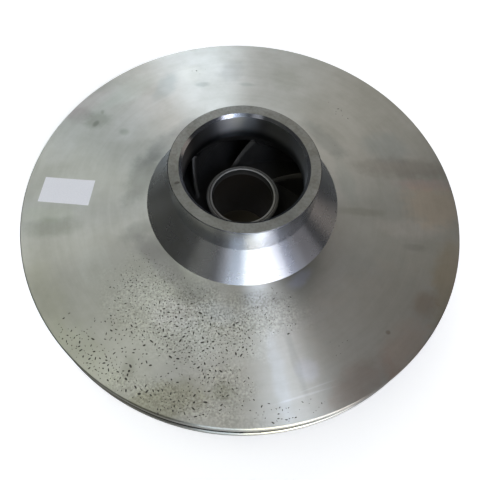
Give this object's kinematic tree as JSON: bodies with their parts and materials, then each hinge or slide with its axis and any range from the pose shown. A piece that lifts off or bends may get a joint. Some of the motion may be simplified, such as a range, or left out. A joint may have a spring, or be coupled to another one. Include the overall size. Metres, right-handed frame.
{
  "type": "pump impeller",
  "caption": "Closed radial pump impeller with a turned front shroud, a conical collar and raised eye ring, backward-swept vanes and a keyed hub, with a bare paper label.",
  "frame": {"origin": "centre of the hub's rear face, which is the middle of the underside as the impeller lies on it with its eye upwards", "axes": "+Z along the shaft axis towards the eye; +X towards the right and +Y away from the viewer of the picture; the paper label lies towards -X"},
  "size_m": [0.32, 0.32, 0.097],
  "materials": {
    "turned_steel": "satin, lathe turned, with open casting pores",
    "polished_steel": "fine turned and polished",
    "cast_steel": "rough as cast, dull grey",
    "paper": "matt self-adhesive label"
  },
  "bodies": {
    "root": {"front_shroud": "turned_steel", "throat_collar": "polished_steel", "wear_ring": "polished_steel", "rear_shroud": "turned_steel", "hub": "turned_steel", "vane_1": "cast_steel", "vane_2": "cast_steel", "vane_3": "cast_steel", "vane_4": "cast_steel", "vane_5": "cast_steel", "vane_6": "cast_steel", "paper_label": "paper"}
  },
  "joints": []
}
